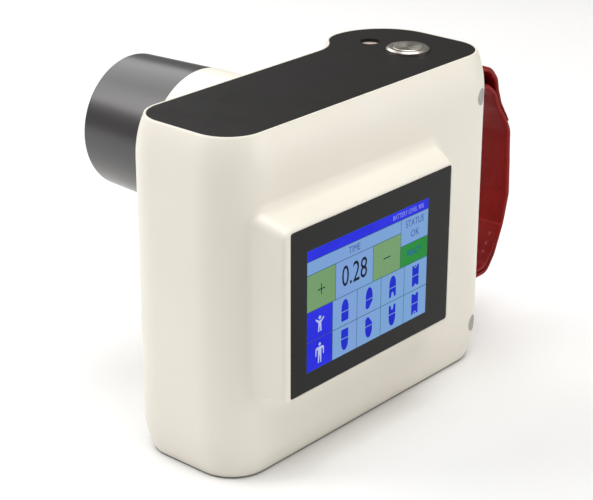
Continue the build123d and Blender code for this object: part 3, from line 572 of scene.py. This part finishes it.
def make_strap():
    """The red strap as one folded ribbon. Gives back where thread can lie on its visible faces."""
    line = rounded_line(STRAP_ROUTE, STRAP_STEP)
    frames = strap_frames(line)
    steps = [(after - before).length for before, after in zip(line, line[1:])]
    total = sum(steps)
    mesh = bmesh.new()
    sections = []
    walked = 0.0
    sewn = []
    for index, (point, along, out) in enumerate(frames):
        sway = SWAY * math.sin(walked / SWAY_RUN)
        half, shift = strap_thickness(point, walked, total)
        sections.append(strap_section(point, out, sway, half, shift))
        face = -1 if index < len(frames) / 2 else 1
        sewn.append((point, along, out, 0.9 * half + face * shift))
        walked += steps[min(index, len(steps) - 1)]
    loft(mesh, sections)
    piece = new_piece("sewn_strap", mesh, "root", [finishes["strap"]])
    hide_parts("hand_strap")
    return sewn


def stitch(mesh, start, end, out, radius):
    """One stitch: a short length of thread that bows out of the strap and dives in at both ends."""
    parts = 6
    along = (end - start).normalized()
    across = along.cross(out).normalized()
    sections = []
    for part in range(parts + 1):
        share = part / parts
        bow = math.sin(math.pi * share)
        middle = start.lerp(end, share) + out * (radius * 0.9 * bow - radius * 0.9)
        size = radius * (0.55 + 0.45 * bow)
        ring = []
        for turn in range(8):
            angle = math.tau * turn / 8
            ring.append(middle + (across * math.cos(angle) + out * math.sin(angle)) * size)
        sections.append(ring)
    loft(mesh, sections)


def sew_rows(mesh, layer, face):
    """A row of stitches along each edge of one lap, on the face that looks along out times face."""
    walked = 0.0
    last = layer[0][0]
    for point, along, out, lift in layer:
        walked += (point - last).length
        last = point
        if walked < STITCH_PITCH:
            continue
        walked = 0.0
        away = Vector((out.x, 0, out.y)) * face
        reach = Vector((along.x, 0, along.y)) * STITCH_LENGTH / 2
        for side in (-1, 1):
            y = STRAP_MIDDLE_Y + side * (STRAP_HALF_WIDTH - STITCH_INSET)
            centre = Vector((point.x, y, point.y)) + away * lift
            stitch(mesh, centre - reach, centre + reach, away, STITCH_RADIUS)


def make_stitching(frames):
    """Threads through both sewn laps, on the faces that can be seen."""
    mesh = bmesh.new()
    quarter = len(frames) // 4
    tab = [item for item in frames[:quarter] if TAB_ROWS[0] < item[0].y / MM < TAB_ROWS[1]]
    lower_end = [item for item in frames[-quarter:]
                 if LAP_ROWS[0] < item[0].y / MM < LAP_ROWS[1] and item[0].x > LAP_START_X]
    sew_rows(mesh, tab, -1)
    sew_rows(mesh, lower_end, 1)
    new_piece("strap_stitching", mesh, "root", [sewing_thread()])


# ---------------------------------------------------------------- lit page
glass_low, glass_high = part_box("touch_glass")
PAGE_LEFT = glass_low.x + 9.7 * MM
PAGE_RIGHT = glass_high.x - 15.3 * MM
PAGE_BOTTOM = glass_low.z + 8.1 * MM
PAGE_TOP = glass_high.z - 10.3 * MM
PAGE_Y = glass_low.y
GRID_LINE = 0.3 * MM
LAYER = 0.03 * MM
CAPITAL_SHARE = 0.73

page_colours = {
    "line": lit("page_line", tone(52, 92, 112), tone(46, 84, 100)),
    "pale": lit("page_pale_blue", tone(126, 172, 222), tone(130, 168, 226)),
    "bar": lit("page_bar_blue", tone(30, 36, 226), tone(46, 52, 240)),
    "olive": lit("page_olive", tone(124, 167, 116), tone(120, 162, 110)),
    "green": lit("page_green", tone(28, 142, 52), tone(44, 152, 66)),
    "mark": lit("page_mark_blue", tone(14, 34, 206), tone(24, 42, 214)),
    "white": lit("page_white", tone(192, 204, 242), tone(178, 192, 238)),
    "ink": lit("page_ink", tone(4, 14, 46), tone(4, 12, 40)),
    "teal": lit("page_teal", tone(24, 92, 170), tone(20, 84, 160)),
    "slate": lit("page_slate", tone(66, 92, 176), tone(60, 86, 166)),
    "haze": lit("page_haze", tone(150, 160, 244), tone(138, 150, 238)),
}
colour_index = {name: index for index, name in enumerate(page_colours)}


def page_point(u, v):
    """A place on the page, from its left edge and from its top, each as a share of the page."""
    return PAGE_LEFT + (PAGE_RIGHT - PAGE_LEFT) * u, PAGE_TOP - (PAGE_TOP - PAGE_BOTTOM) * v


def plate(mesh, outline, layer, colour):
    """A thin closed plate on the glass, from an outline in X and Z."""
    front_y = PAGE_Y - LAYER * (layer + 1)
    back_y = PAGE_Y - LAYER * layer
    front = [mesh.verts.new((x, front_y, z)) for x, z in outline]
    back = [mesh.verts.new((x, back_y, z)) for x, z in outline]
    count = len(front)
    faces = [mesh.faces.new(front), mesh.faces.new(list(reversed(back)))]
    for index in range(count):
        after = (index + 1) % count
        faces.append(mesh.faces.new((front[after], front[index], back[index], back[after])))
    for face in faces:
        face.material_index = colour_index[colour]


def tile(mesh, u0, u1, v0, v1, colour):
    """One coloured field of the page, with the grid line left showing round it."""
    left, top = page_point(u0, v0)
    right, bottom = page_point(u1, v1)
    gap = GRID_LINE / 2
    left, right, top, bottom = left + gap, right - gap, top - gap, bottom + gap
    plate(mesh, ((left, top), (right, top), (right, bottom), (left, bottom)), 1, colour)


def arc(centre_x, centre_y, radius_x, radius_y, start, end, parts=10):
    """Points along part of an ellipse, from the start angle to the end angle in degrees."""
    points = []
    for part in range(parts + 1):
        angle = math.radians(start + (end - start) * part / parts)
        points.append((centre_x + radius_x * math.cos(angle), centre_y + radius_y * math.sin(angle)))
    return points


def film_marks(kind):
    """Outlines of one tooth-film mark, in a cell one wide and one high, with the root upwards."""
    root = [(-0.5, 0.46), (0.5, 0.46), *arc(0.0, 0.56, 0.5, 0.44, 0, 180, 14)]
    if kind == "front":
        return [root, [(-0.5, 0.42), (-0.5, 0.06), *arc(-0.4, 0.05, 0.1, 0.05, 180, 270, 3),
                       *arc(0.4, 0.05, 0.1, 0.05, 270, 360, 3), (0.5, 0.42)]]
    if kind == "eye":
        return [root, [(-0.5, 0.42), (-0.5, 0.1), (-0.3, 0.0), (0.0, 0.03), (0.5, 0.34), (0.5, 0.42)]]
    if kind == "premolar":
        return [root, [(-0.5, 0.42), (-0.5, 0.0), (-0.24, 0.0), *arc(0.0, 0.16, 0.15, 0.08, 180, 0, 8),
                       (0.24, 0.0), (0.5, 0.0), (0.5, 0.42)]]
    upper = [(-0.5, 0.5), (0.5, 0.5), (0.5, 1.0), *arc(0.0, 0.98, 0.27, 0.13, 0, -180, 8), (-0.5, 1.0)]
    lower = [(-0.5, 0.46), (-0.5, 0.0), (-0.22, 0.0), (0.0, 0.1), (0.22, 0.0), (0.5, 0.0), (0.5, 0.46)]
    return [upper, lower, arc(0.0, 0.94, 0.12, 0.05, 0, 345, 8)]


def person(arms_up):
    """Outlines of a plain standing figure, one wide and one high."""
    if arms_up:
        torso = [(-0.5, 0.72), (-0.44, 0.8), (-0.12, 0.64), (0.12, 0.64), (0.44, 0.8), (0.5, 0.72), (0.16, 0.5),
                 (0.2, 0.0), (0.06, 0.0), (0.03, 0.28), (-0.03, 0.28), (-0.06, 0.0), (-0.2, 0.0), (-0.16, 0.5)]
        return [torso, arc(0.0, 0.81, 0.15, 0.11, 0, 345, 12)]
    torso = [(-0.36, 0.78), (0.36, 0.78), (0.5, 0.7), (0.5, 0.36), (0.41, 0.36), (0.36, 0.66), (0.2, 0.64),
             (0.2, 0.0), (0.08, 0.0), (0.03, 0.36), (-0.03, 0.36), (-0.08, 0.0), (-0.2, 0.0), (-0.2, 0.64),
             (-0.36, 0.66), (-0.41, 0.36), (-0.5, 0.36), (-0.5, 0.7)]
    return [torso, arc(0.0, 0.9, 0.13, 0.08, 0, 345, 12)]


def place_marks(mesh, outlines, u, v, width, height, colour, upside_down=False):
    """Lay a mark's outlines on the page, centred at u, v."""
    x, z = page_point(u, v)
    flip = -1 if upside_down else 1
    for outline in outlines:
        placed = [(x + px * width, z + flip * (py - 0.5) * height) for px, py in outline]
        plate(mesh, placed, 2, colour)


def lettering(mesh, words, u, v, height, squeeze, colour, weight=0.0):
    """Plain lettering centred at u, v, with capitals of the given height."""
    text = bpy.data.curves.new("words", "FONT")
    text.body = words
    text.size = height / CAPITAL_SHARE
    text.align_x = "CENTER"
    text.align_y = "CENTER"
    text.offset = weight
    text.resolution_u = 3
    holder = bpy.data.objects.new("words", text)
    bpy.context.scene.collection.objects.link(holder)
    flat = bpy.data.meshes.new_from_object(holder)
    bpy.data.objects.remove(holder)
    x, z = page_point(u, v)
    front_y = PAGE_Y - 3 * LAYER
    points = [mesh.verts.new((x + vertex.co.x * squeeze, front_y, z + vertex.co.y)) for vertex in flat.vertices]
    front = [mesh.faces.new([points[index] for index in polygon.vertices]) for polygon in flat.polygons]
    grown = bmesh.ops.extrude_face_region(mesh, geom=front, use_keep_orig=True)
    for item in grown["geom"]:
        if isinstance(item, bmesh.types.BMVert):
            item.co.y = PAGE_Y - 2 * LAYER
    for face in mesh.faces:
        if face.material_index == 0 and any(vertex in points for vertex in face.verts):
            face.material_index = colour_index[colour]


# Where the page's fields end, as shares of its height and width.
BAR_BOTTOM = 0.09
NAME_BOTTOM = 0.2
STATUS_BOTTOM = 0.32
KEYS_BOTTOM = 0.5
LOWER_ROW = 0.75
PLUS_RIGHT = 0.225
MINUS_LEFT = 0.53
RIGHT_COLUMN = 0.763
PEOPLE_COLUMN = 0.203
FILM_WIDTH = (1 - PEOPLE_COLUMN) / 4
MARK_SIZE = (4.5 * MM, 9.6 * MM)
CHILD_SIZE = (5.4 * MM, 7.6 * MM)
ADULT_SIZE = (5.2 * MM, 9.2 * MM)
SIGN_SIZE = (4.6 * MM, 4.6 * MM)


def make_page_fields():
    """The coloured fields, over one dark plate whose edges show between them as grid lines."""
    mesh = bmesh.new()
    left, top = page_point(0, 0)
    right, bottom = page_point(1, 1)
    plate(mesh, ((left, top), (right, top), (right, bottom), (left, bottom)), 0, "line")
    tile(mesh, 0, 1, 0, BAR_BOTTOM, "bar")
    tile(mesh, 0, RIGHT_COLUMN, BAR_BOTTOM, NAME_BOTTOM, "pale")
    tile(mesh, 0, PLUS_RIGHT, NAME_BOTTOM, KEYS_BOTTOM, "olive")
    tile(mesh, PLUS_RIGHT, MINUS_LEFT, NAME_BOTTOM, KEYS_BOTTOM, "pale")
    tile(mesh, MINUS_LEFT, RIGHT_COLUMN, NAME_BOTTOM, KEYS_BOTTOM, "olive")
    tile(mesh, RIGHT_COLUMN, 1, BAR_BOTTOM, STATUS_BOTTOM, "pale")
    tile(mesh, RIGHT_COLUMN, 1, STATUS_BOTTOM, KEYS_BOTTOM, "green")
    for row_top, row_bottom in ((KEYS_BOTTOM, LOWER_ROW), (LOWER_ROW, 1.0)):
        tile(mesh, 0, PEOPLE_COLUMN, row_top, row_bottom, "bar")
        for column in range(4):
            start = PEOPLE_COLUMN + FILM_WIDTH * column
            tile(mesh, start, start + FILM_WIDTH, row_top, row_bottom, "pale")
    new_piece("page_fields", mesh, "root", page_colours.values(), smooth=False)


def make_page_marks():
    """Film marks, the two figures and the key signs."""
    mesh = bmesh.new()
    for column, kind in enumerate(("front", "eye", "premolar", "molar")):
        u = PEOPLE_COLUMN + FILM_WIDTH * (column + 0.5)
        place_marks(mesh, film_marks(kind), u, 0.622, *MARK_SIZE, "mark")
        place_marks(mesh, film_marks(kind), u, 0.872, *MARK_SIZE, "mark", upside_down=True)
    place_marks(mesh, person(True), PEOPLE_COLUMN / 2, 0.625, *CHILD_SIZE, "white")
    place_marks(mesh, person(False), PEOPLE_COLUMN / 2, 0.872, *ADULT_SIZE, "white")
    bar = [(-0.5, 0.45), (0.5, 0.45), (0.5, 0.55), (-0.5, 0.55)]
    cross = [(-0.5, 0.45), (-0.05, 0.45), (-0.05, 0.0), (0.05, 0.0), (0.05, 0.45), (0.5, 0.45), (0.5, 0.55),
             (0.05, 0.55), (0.05, 1.0), (-0.05, 1.0), (-0.05, 0.55), (-0.5, 0.55)]
    place_marks(mesh, [cross], 0.112, 0.35, *SIGN_SIZE, "ink")
    place_marks(mesh, [bar], 0.647, 0.35, *SIGN_SIZE, "ink")
    new_piece("page_marks", mesh, "root", page_colours.values(), smooth=False)


def make_page_lettering():
    """The time shown and a few plain words."""
    mesh = bmesh.new()
    lettering(mesh, "0.28", 0.378, 0.348, 9.5 * MM, 0.74, "ink", 0.03 * MM)
    lettering(mesh, "TIME", 0.375, 0.147, 3.2 * MM, 0.8, "slate")
    lettering(mesh, "STATUS", 0.882, 0.152, 3.2 * MM, 0.82, "slate")
    lettering(mesh, "OK", 0.885, 0.247, 3.2 * MM, 0.9, "slate")
    lettering(mesh, "READY", 0.882, 0.405, 3.0 * MM, 0.78, "teal")
    lettering(mesh, "BATTERY LEVEL 90%", 0.825, 0.047, 2.2 * MM, 0.78, "haze")
    new_piece("page_lettering", mesh, "root", page_colours.values(), smooth=False)


# ---------------------------------------------------------------- studio
FLOOR_HALF = 6.0
FLOOR_Z = -0.1 * MM
CONE_AIM = (-0.02, 0.07, 0.11)


def make_floor():
    """A plain pale floor, far larger than the view."""
    half = FLOOR_HALF
    mesh = bmesh.new()
    corners = ((-half, -half), (half, -half), (half, half), (-half, half))
    mesh.faces.new([mesh.verts.new((x, y, FLOOR_Z)) for x, y in corners])
    data = bpy.data.meshes.new("floor")
    mesh.to_mesh(data)
    mesh.free()
    graph = Graph("pale_floor")
    paint = graph.mottled(graph.noise(3.0, 2.0), tone(240, 240, 240), tone(238, 238, 238))
    data.materials.append(graph.done(paint, graph.spread(graph.noise(9.0, 3.0), 0.75, 0.85)))
    floor = bpy.data.objects.new("floor", data)
    bpy.context.scene.collection.objects.link(floor)


def area_light(name, place, aim, width, height, power, colour=(1.0, 1.0, 1.0)):
    """A soft rectangular light at a place, turned to its aim."""
    light = bpy.data.lights.new(name, "AREA")
    light.shape = "RECTANGLE"
    light.size = width
    light.size_y = height
    light.energy = power
    light.color = colour
    holder = bpy.data.objects.new(name, light)
    holder.location = place
    holder.rotation_euler = (Vector(aim) - Vector(place)).to_track_quat("-Z", "Y").to_euler()
    bpy.context.scene.collection.objects.link(holder)


def make_lights():
    """Soft lights overhead, on the screen side and behind the cone, and an even surround."""
    area_light("top_light", (-0.1, -0.3, 1.5), (0, 0, 0.05), 1.5, 1.2, 22.5, (1.0, 0.99, 0.97))
    area_light("screen_side_light", (0.9, -1.5, 0.3), (0, 0, 0.04), 1.2, 0.7, 7.2, (1.0, 0.985, 0.96))
    area_light("cone_side_light", (-0.7, 0.78, 0.84), CONE_AIM, 0.7, 0.55, 6.5, (1.0, 0.985, 0.98))
    area_light("back_light", (0.2, 1.1, 1.05), CONE_AIM, 1.4, 0.8, 8.0)
    world = bpy.data.worlds.new("surround")
    world.use_nodes = True
    backdrop = world.node_tree.nodes["Background"]
    backdrop.inputs["Color"].default_value = (1.0, 0.99, 0.975, 1.0)
    backdrop.inputs["Strength"].default_value = 0.2
    bpy.context.scene.world = world
    bpy.context.scene.view_settings.view_transform = "Standard"


CAMERA_PLACE = (-0.5446, -0.4602, 0.3710)
CAMERA_TURN = 49.0
CAMERA_DOWN = 22.85
CAMERA_ROLL = 0.1
CAMERA_LENS = 107.76
SENSOR_WIDTH = 36.0


def make_camera():
    """The camera, turned from +Y towards +X and tilted down."""
    turn = math.radians(CAMERA_TURN)
    down = math.radians(CAMERA_DOWN)
    forward = Vector((math.sin(turn) * math.cos(down), math.cos(turn) * math.cos(down), -math.sin(down)))
    data = bpy.data.cameras.new("camera")
    data.sensor_width = SENSOR_WIDTH
    data.lens = CAMERA_LENS
    data.clip_start = 0.01
    camera = bpy.data.objects.new("camera", data)
    facing = forward.to_track_quat("-Z", "Y").to_matrix().to_4x4()
    roll = Matrix.Rotation(math.radians(CAMERA_ROLL), 4, "Z")
    camera.matrix_world = Matrix.Translation(CAMERA_PLACE) @ facing @ roll
    bpy.context.scene.collection.objects.link(camera)
    bpy.context.scene.camera = camera


finish_cad_nodes()
strap_line = make_strap()
make_stitching(strap_line)
make_spring("exposure_coil", "exposure_spring", 0.45 * MM)
make_spring("power_coil", "power_spring", 0.35 * MM)
make_page_fields()
make_page_marks()
make_page_lettering()
make_floor()
make_lights()
make_camera()
